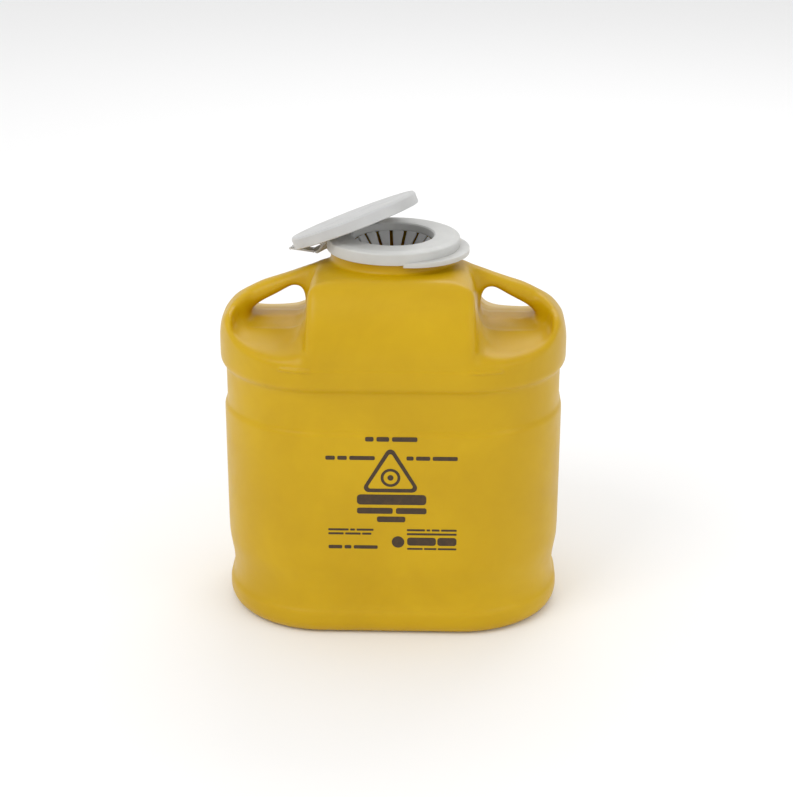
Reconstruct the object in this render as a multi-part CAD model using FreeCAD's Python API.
import FreeCAD, Part
import math
import os

os.makedirs("parts", exist_ok=True)
V = FreeCAD.Vector

# ---------------------------------------------------------------- dimensions, mm
WALL = 1.5              # blow-moulded wall
FLAT_X, FLAT_Y = 44.3, 7.0   # half lengths of the straight runs of the plan outline
# half width of the body at each height, base to shoulder
PROFILE = [(0.0, 104.3), (1.5, 106.9), (4.5, 109.3), (8.0, 110.3), (15.0, 110.3), (18.0, 108.5),
           (24.0, 107.3), (30.0, 107.3), (38.0, 108.3), (46.0, 109.7), (60.0, 110.1), (138.5, 110.1),
           (141.5, 108.3), (166.5, 108.3), (170.0, 111.2), (173.0, 111.8), (190.0, 111.8)]
SHOULDER_Z = 190.0
SHOULDER_A = 111.8
TOP_Z = 235.0           # flat top round the neck
CROWN_Y = 42.0          # front face curves back to this half depth at the top
CROWN_B = 32.5
CROWN_Z0 = 185.0
# arch (handle top) in the XZ plane, shoulder to neck
ARCH = [(111.8, 190.0), (110.9, 195.0), (108.5, 200.8), (104.5, 206.2), (98.2, 211.4), (88.5, 216.8),
        (74.3, 222.1), (58.9, 227.5), (47.0, 231.8)]
HANDLE_Y = 9.5          # half depth of the handle arch
BACK_FALL = 0.42        # slope of everything behind the handle arch
SILL_Z = 196.5
COLUMN_X = 53.0         # half width of the column between the handles

NECK_R, NECK_BORE, NECK_TOP = 40.0, 36.5, 248.1
BEAD_R = 40.7

RING_R, RING_IN = 42.5, 41.0
RING_Z0, RING_Z1, RING_TOP = 241.6, 248.5, 250.0
MOUTH_R = 26.0
ROOT_R, ROOT_Z = 24.6, 245.6
FLANGE_C, FLANGE_R, FLANGE_AZ = 12.0, 37.5, -22.0
FLANGE_Z0, FLANGE_Z1 = 240.0, 243.0

FINGERS = 16
FINGER_STEP = 360.0 / FINGERS
FINGER_AZ0 = 5.2 + 90.0 - FINGER_STEP / 2.0   # first finger, degrees from +X
FINGER_L, FINGER_T = 18.5, 1.0
FINGER_SLOPE = 38.0     # degrees from vertical, tips toward the axis
FINGER_W0, FINGER_W1 = 7.3, 2.9

HINGE_AZ = 155.0        # degrees from +X
TILT = 23.5             # flap's tilt at rest, degrees
REST_S, REST_Z = 26.3, 252.2   # centre of the flap's underside at rest, out along the hinge azimuth
QS, QH = 45.8, 0.8      # flap hinge line in the flap's own frame
CLOSED_Z = 250.3        # height of the flap's underside when shut
KZ = 234.8              # height of the strap hinge line
STRAP_W, STRAP_T = 26.0, 1.1
WINDOW_W = 12.0
FILM_R = 0.9
KNUCKLE_R = 0.8
FLAP_R, FLAP_TOP_R, FLAP_H, FLAP_WALL = 42.5, 39.0, 7.6, 1.6
STIFF_R, STIFF_Z = 24.0, 3.2   # stiffening ring under the flap

# the strap hinge line lies equally far from the flap hinge line open and shut
tr = math.radians(TILT)
Q1S, Q1Z = REST_S + QS * math.cos(tr) + QH * math.sin(tr), REST_Z - QS * math.sin(tr) + QH * math.cos(tr)
QCS, QCZ = QS, CLOSED_Z + QH
KS = (Q1S + QCS) / 2 - ((Q1Z + QCZ) / 2 - KZ) * (QCZ - Q1Z) / (Q1S - QCS)
LINK = math.hypot(Q1S - KS, Q1Z - KZ)
lr = math.atan2(Q1Z - KZ, Q1S - KS)



# ---------------------------------------------------------------- helpers
def outline(a, z):
    """Plan outline of half width a: straight runs joined by quarter circles."""
    r = a - FLAT_X
    x0, y0 = FLAT_X, FLAT_Y
    c = math.sqrt(0.5) * r
    e = [Part.makeLine(V(-x0, -y0 - r, z), V(x0, -y0 - r, z)),
         Part.Arc(V(x0, -y0 - r, z), V(x0 + c, -y0 - c, z), V(x0 + r, -y0, z)).toShape(),
         Part.makeLine(V(x0 + r, -y0, z), V(x0 + r, y0, z)),
         Part.Arc(V(x0 + r, y0, z), V(x0 + c, y0 + c, z), V(x0, y0 + r, z)).toShape(),
         Part.makeLine(V(x0, y0 + r, z), V(-x0, y0 + r, z)),
         Part.Arc(V(-x0, y0 + r, z), V(-x0 - c, y0 + c, z), V(-x0 - r, y0, z)).toShape(),
         Part.makeLine(V(-x0 - r, y0, z), V(-x0 - r, -y0, z)),
         Part.Arc(V(-x0 - r, -y0, z), V(-x0 - c, -y0 - c, z), V(-x0, -y0 - r, z)).toShape()]
    return Part.Wire(e)


def prof(z):
    for (z0, a0), (z1, a1) in zip(PROFILE, PROFILE[1:]):
        if z <= z1:
            return a0 + (a1 - a0) * (z - z0) / (z1 - z0)
    return PROFILE[-1][1]


def poly_xz(pts):
    p = [V(x, 0, z) for x, z in pts]
    return Part.makePolygon(p + [p[0]])


def prism_y(wire, y0, y1):
    f = Part.Face(wire)
    f.translate(V(0, y0, 0))
    return f.extrude(V(0, y1 - y0, 0))


def prism_x(pts, x0, x1):
    p = [V(x0, y, z) for y, z in pts]
    return Part.Face(Part.makePolygon(p + [p[0]])).extrude(V(x1 - x0, 0, 0))


def mirror_x(s):
    return s.mirror(V(0, 0, 0), V(1, 0, 0))


def mirror_y(s):
    return s.mirror(V(0, 0, 0), V(0, 1, 0))


def arch_prism(inset):
    """Everything below the arch line, run through the whole depth."""
    pts = []
    for i, (x, z) in enumerate(ARCH):
        x0, z0 = ARCH[max(i - 1, 0)]
        x1, z1 = ARCH[min(i + 1, len(ARCH) - 1)]
        dx, dz = x1 - x0, z1 - z0
        n = math.hypot(dx, dz)
        pts.append(V(x - inset * dz / n, 0, z + inset * dx / n))
    right = Part.BSplineCurve()
    right.interpolate(pts)
    left = Part.BSplineCurve()
    left.interpolate([V(-p.x, 0, p.z) for p in pts])
    r0, r1 = pts[0], pts[-1]
    top = TOP_Z - inset
    t = V(38.0 - inset, 0, top)
    low = SHOULDER_Z - WALL - 2 if inset else SHOULDER_Z
    e = [right.toShape(), Part.makeLine(r1, t), Part.makeLine(t, V(-t.x, 0, top)),
         Part.makeLine(V(-t.x, 0, top), V(-r1.x, 0, r1.z)), left.toShape()]
    if inset:
        e += [Part.makeLine(V(-r0.x, 0, r0.z), V(-r0.x, 0, low)),
              Part.makeLine(V(-r0.x, 0, low), V(r0.x, 0, low)),
              Part.makeLine(V(r0.x, 0, low), r0)]
    else:
        e += [Part.makeLine(V(-r0.x, 0, r0.z), r0)]
    return prism_y(Part.Wire(Part.__sortEdges__(e)), -90, 90)


def crown_prism(inset):
    """Front and back faces curving in toward the neck."""
    pts = []
    for i in range(19):
        t = math.radians(90.0 * i / 18)
        pts.append((-(CROWN_Y + (CROWN_B - inset) * math.cos(t)), CROWN_Z0 + (TOP_Z - CROWN_Z0 - inset) * math.sin(t)))
    low = [(pts[0][0], SHOULDER_Z - 8)]
    full = low + pts + [(-y, z) for y, z in reversed(low + pts)]
    return prism_x(full, -130, 130)


END_FALL = [(76.0, 189.0), (68.0, 191.0), (58.0, 194.6), (47.0, 200.0), (36.0, 206.0), (26.0, 211.5), (17.0, 218.0), (11.0, 228.0), (9.0, 240.0)]


def end_prism(inset):
    """Crest of each end shoulder seen from the side, handle down to the corners."""
    pts = []
    for i, (y, z) in enumerate(END_FALL):
        y0, z0 = END_FALL[max(i - 1, 0)]
        y1, z1 = END_FALL[min(i + 1, len(END_FALL) - 1)]
        dy, dz = y1 - y0, z1 - z0
        n = math.hypot(dy, dz)
        pts.append((y - inset * dz / n, z + inset * dy / n))
    low = [(90.0, pts[0][1]), (90.0, SHOULDER_Z - 8)]
    half = list(reversed(pts)) + low
    return prism_x([(-y, z) for y, z in half] + [(y, z) for y, z in reversed(half)], -130, 130)


def back_cut(inset):
    """Behind the handle arch the whole top falls away, following the arch."""
    pts = [(112.5, 188.6), (110.9, 195.0), (104.5, 206.2), (88.5, 216.8), (58.9, 227.5), (40.0, 233.6), (0.0, 235.4)]
    line = [V(x, 4.0, z - inset * 1.15) for x, z in pts]
    right = Part.makePolygon(line + [V(0, 4.0, 275), V(130, 4.0, 275), V(130, 4.0, 188.6 - inset * 1.15), line[0]])
    s = Part.Face(right).extrude(V(0, 90.0, -90.0 * BACK_FALL))
    return s.fuse(mirror_x(s))


def slanted(pts, sx, sy, y0, lean, dz):
    """Prism from an outline in X and Z, run outward from y0 and leaning as it goes."""
    q = [V(sx * x, sy * y0, z) for x, z in pts]
    return Part.Face(Part.makePolygon(q + [q[0]])).extrude(V(sx * lean * (95 - y0), sy * (95 - y0), dz * (95 - y0)))


def pocket(grow, sx, sy):
    """Finger scoop under one side of a handle: sx picks the handle, sy the front (-1) or the back (1)."""
    g = grow
    y0 = HANDLE_Y - g
    x0 = COLUMN_X - g
    dz = -0.173 if sy > 0 else 0.0
    inner = [(x0, 290), (x0 + 0.6, 214 - g), (x0 + 2.0, 204 - g), (x0 + 5.0, 196.5 - g), (x0 + 9.5, 191.6 - g), (x0 + 16, 189.2 - g),
             (80.0, 188.2 - g), (84.0, 190.0 - g), (84.0, 290)]
    outer = [(68.0, 291), (68.0, 189.6 - g), (76.4, 188.3 - g), (83.5 + g * 0.5, 189.5 - g), (90.0 + g, 193.4 - g), (93.0 + g, 200.0 - g * 0.5),
             (93.7 + g, 211.0), (94.4 + g, 291)]
    sill = SILL_Z - g
    low = 184.4 - g - (0.173 * 75.0 if sy > 0 else 0.0)
    a, b = (40, 140) if sx > 0 else (-140, -40)
    slope = prism_x([(sy * 92, low - 0.3), (sy * 15, sill), (sy * (y0 - 0.1), sill), (sy * (y0 - 0.1), 268), (sy * 92, 268)], a, b)
    return slanted(inner, sx, sy, y0, 0.0, dz).fuse(slanted(outer, sx, sy, y0, 0.255, dz)).common(slope)


HOLE = [(56.4, 202.5), (56.6, 208.5), (57.8, 213.0), (60.2, 215.6), (64.5, 216.0), (69.0, 214.2), (74.0, 211.6), (79.0, 209.0),
        (84.5, 206.0), (88.6, 202.6), (91.0, 199.4), (90.4, 197.2), (88.5, SILL_Z), (62.0, SILL_Z), (58.2, 198.2)]


def hole(grow):
    w = poly_xz(HOLE)
    if grow:
        w = w.makeOffset2D(grow, 2)
    return prism_y(w, -HANDLE_Y - 5, HANDLE_Y + 5)


# ---------------------------------------------------------------- tank
def upper(inset):
    a = SHOULDER_A - inset
    z0 = SHOULDER_Z if not inset else SHOULDER_Z - WALL - 1
    d = Part.Face(outline(a, z0)).extrude(V(0, 0, 70))
    d = d.common(arch_prism(inset)).common(crown_prism(inset))
    mid = prism_x([(-90, 180), (90, 180), (90, 245), (-90, 245)], -COLUMN_X + inset, COLUMN_X - inset)
    d = d.common(mid).fuse(d.common(end_prism(inset)))
    d = d.cut(back_cut(inset))
    h = hole(inset)
    for c in [pocket(inset, sx, sy) for sx in (1, -1) for sy in (-1, 1)] + [h, mirror_x(h)]:
        d = d.cut(c)
    return d


lower = Part.makeLoft([outline(a, z) for z, a in PROFILE], True, True)
zs = [WALL] + [z for z, a in PROFILE if WALL < z < SHOULDER_Z] + [SHOULDER_Z - WALL]
lower_in = Part.makeLoft([outline(prof(z) - WALL, z) for z in zs], True, True)

outer = lower.fuse(upper(0.0))
neck = Part.makeCylinder(NECK_R, NECK_TOP - 230.0, V(0, 0, 230.0))
bead = Part.makeCone(NECK_R, BEAD_R, 0.6, V(0, 0, 244.4)).fuse(Part.makeCone(BEAD_R, NECK_R, 1.2, V(0, 0, 245.0)))
outer = outer.fuse(neck).fuse(bead)
# two raised level dashes high on the front
for sx in (-1, 1):
    outer = outer.fuse(Part.makeBox(20.6, 7.0, 2.5, V(48.6 if sx > 0 else -69.2, -76.0, 182.0)).common(
        Part.Face(outline(SHOULDER_A + 0.8, 181.0)).extrude(V(0, 0, 5))))
void = lower_in.fuse(upper(WALL)).fuse(Part.makeCylinder(NECK_BORE, 30, V(0, 0, 222.0)))
tank = outer.cut(void)
tank = tank.removeSplitter()

# ---------------------------------------------------------------- lid ring
ring_pts = [(RING_IN, RING_Z0 + 0.4), (RING_IN + 0.3, RING_Z0), (RING_R, RING_Z0), (RING_R, RING_Z1 - 0.2), (RING_R - 0.5, RING_Z1 + 0.4), (40.2, 249.6), (39.0, RING_TOP),
            (MOUTH_R + 0.9, RING_TOP), (MOUTH_R, RING_TOP - 0.7), (ROOT_R + 0.7, ROOT_Z + 0.3), (ROOT_R + 0.7, ROOT_Z - 0.6),
            (ROOT_R + 1.9, ROOT_Z - 0.6), (ROOT_R + 1.9, ROOT_Z + 0.4), (MOUTH_R + 1.2, RING_TOP - 1.7),
            (34.5, RING_TOP - 1.7), (34.5, 244.0), (36.0, 243.2), (36.0, RING_TOP - 1.9), (RING_IN, RING_TOP - 1.9)]
p = [V(r, 0, z) for r, z in ring_pts]
ring = Part.Face(Part.makePolygon(p + [p[0]])).revolve(V(0, 0, 0), V(0, 0, 1), 360)
# crescent thumb flange at the foot of the skirt
fa = math.radians(FLANGE_AZ)
fl = Part.makeCylinder(FLANGE_R, FLANGE_Z1 - FLANGE_Z0, V(FLANGE_C * math.cos(fa), FLANGE_C * math.sin(fa), FLANGE_Z0))
fl = fl.cut(Part.makeCylinder(RING_IN, 10, V(0, 0, 236)))
wedge_pts = [V(0, 0, 236)] + [V(80 * math.cos(math.radians(t)), 80 * math.sin(math.radians(t)), 236)
                              for t in range(-80, 36, 5)]
fl = fl.common(Part.Face(Part.makePolygon(wedge_pts + [wedge_pts[0]])).extrude(V(0, 0, 10)))
ring = ring.fuse(fl)


def along(pts, w0, w1):
    """Prism from a profile in the hinge plane (s outward, z up), w across it."""
    q = [V(s, w0, z) for s, z in pts]
    b = Part.Face(Part.makePolygon(q + [q[0]])).extrude(V(0, w1 - w0, 0))
    b.rotate(V(0, 0, 0), V(0, 0, 1), HINGE_AZ)
    return b


bracket = along([(41.8, 246.0), (43.4, 244.8), (KS - 3.8, KZ + 1.9), (KS - 1.4, KZ + 0.3), (KS - 1.4, KZ - 0.7),
                 (KS - 3.0, KZ - 0.9), (41.8, 241.9)], -STRAP_W / 2, STRAP_W / 2)
window = along([(44.0, 250.0), (KS - 3.2, 250.0), (KS - 3.2, 230.0), (44.0, 230.0)], -WINDOW_W / 2, WINDOW_W / 2)
ring = ring.fuse(bracket.cut(window)).removeSplitter()

# ---------------------------------------------------------------- guard fingers
fingers = []
for i in range(FINGERS):
    # in the finger's own frame: u down its length, width along Y, thickness outward
    w0, w1, L = FINGER_W0 / 2, FINGER_W1 / 2, FINGER_L
    pts = [(0.0, -w0 + 0.5), (0.6, -w0)] + [(L * 0.93, -w1), (L, -w1 + 0.9), (L, w1 - 0.9), (L * 0.93, w1)] + [(0.6, w0), (0.0, w0 - 0.5)]
    q = [V(0, y, -u) for u, y in pts]
    f = Part.Face(Part.makePolygon(q + [q[0]])).extrude(V(FINGER_T, 0, 0))
    f.translate(V(-FINGER_T / 2, 0, 0))
    f.rotate(V(0, 0, 0), V(0, 1, 0), FINGER_SLOPE)
    f.translate(V(ROOT_R - 0.35, 0, ROOT_Z - 0.35))
    f.rotate(V(0, 0, 0), V(0, 0, 1), FINGER_AZ0 + i * FINGER_STEP)
    fingers.append(f)

# ---------------------------------------------------------------- strap, film and flap

def link_pt(d, h):
    return (KS + d * math.cos(lr) - h * math.sin(lr), KZ + d * math.sin(lr) + h * math.cos(lr))


ht = STRAP_T / 2
strap = along([link_pt(0.0, -ht), link_pt(LINK - 1.7, -ht), link_pt(LINK - 1.3, -ht * 0.6),
               link_pt(LINK - 1.3, ht * 0.6), link_pt(LINK - 1.7, ht), link_pt(0.0, ht)],
              -STRAP_W / 2, STRAP_W / 2)
knuckle = Part.makeCylinder(KNUCKLE_R, STRAP_W, V(KS, -STRAP_W / 2, KZ), V(0, 1, 0))
knuckle.rotate(V(0, 0, 0), V(0, 0, 1), HINGE_AZ)
strap = strap.fuse(knuckle)
strap = strap.cut(along([link_pt(3.0, -5), link_pt(LINK - 4.0, -5), link_pt(LINK - 4.0, 5), link_pt(3.0, 5)],
                        -WINDOW_W / 2, WINDOW_W / 2))

film = Part.makeCylinder(FILM_R, STRAP_W, V(Q1S, -STRAP_W / 2, Q1Z), V(0, 1, 0))
film.rotate(V(0, 0, 0), V(0, 0, 1), HINGE_AZ)

# flap drawn closed about its own axis, underside at z = 0
fp = [(FLAP_R - 0.5, 0.0), (FLAP_R, 0.5), (FLAP_R, 6.4), (FLAP_R - 0.9, 7.7), (FLAP_TOP_R, FLAP_H), (0, FLAP_H), (0, FLAP_H - FLAP_WALL),
      (STIFF_R - 1.2, FLAP_H - FLAP_WALL), (STIFF_R - 1.2, STIFF_Z), (STIFF_R, STIFF_Z),
      (STIFF_R, FLAP_H - FLAP_WALL), (FLAP_TOP_R - 0.6, FLAP_H - FLAP_WALL), (FLAP_R - FLAP_WALL, 6.0), (FLAP_R - FLAP_WALL, 0.0)]
p = [V(r, 0, z) for r, z in fp]
flap = Part.Face(Part.makePolygon(p + [p[0]])).revolve(V(0, 0, 0), V(0, 0, 1), 360)
lip = Part.makeBox(QS - 1.25 - 40.9, STRAP_W - 2, 1.4, V(40.9, -STRAP_W / 2 + 1, QH))
lip = lip.cut(Part.makeCylinder(FLAP_R - FLAP_WALL + 0.2, 20, V(0, 0, -5)))
flap = flap.fuse(lip).removeSplitter()
# open pose: turn about the film, then carry to the strap's end
flap.translate(V(-QS, 0, -QH))
flap.rotate(V(0, 0, 0), V(0, 1, 0), TILT)
flap.translate(V(Q1S, 0, Q1Z))
flap.rotate(V(0, 0, 0), V(0, 0, 1), HINGE_AZ)

# ---------------------------------------------------------------- export
nodes = {"tank": tank, "lid_ring": ring, "hinge_strap": strap, "hinge_film": film, "flap": flap}
for i, f in enumerate(fingers):
    nodes["guard_finger_%02d" % (i + 1)] = f
for n, s in nodes.items():
    bb = s.BoundBox
    print("%-18s solids %d valid %s vol %.0f  x %.1f %.1f  y %.1f %.1f  z %.1f %.1f" % (
        n, len(s.Solids), s.isValid(), s.Volume, bb.XMin, bb.XMax, bb.YMin, bb.YMax, bb.ZMin, bb.ZMax))
    s.exportStep("parts/%s.step" % n)
print("strap hinge", KS, KZ, "flap hinge", Q1S, Q1Z)
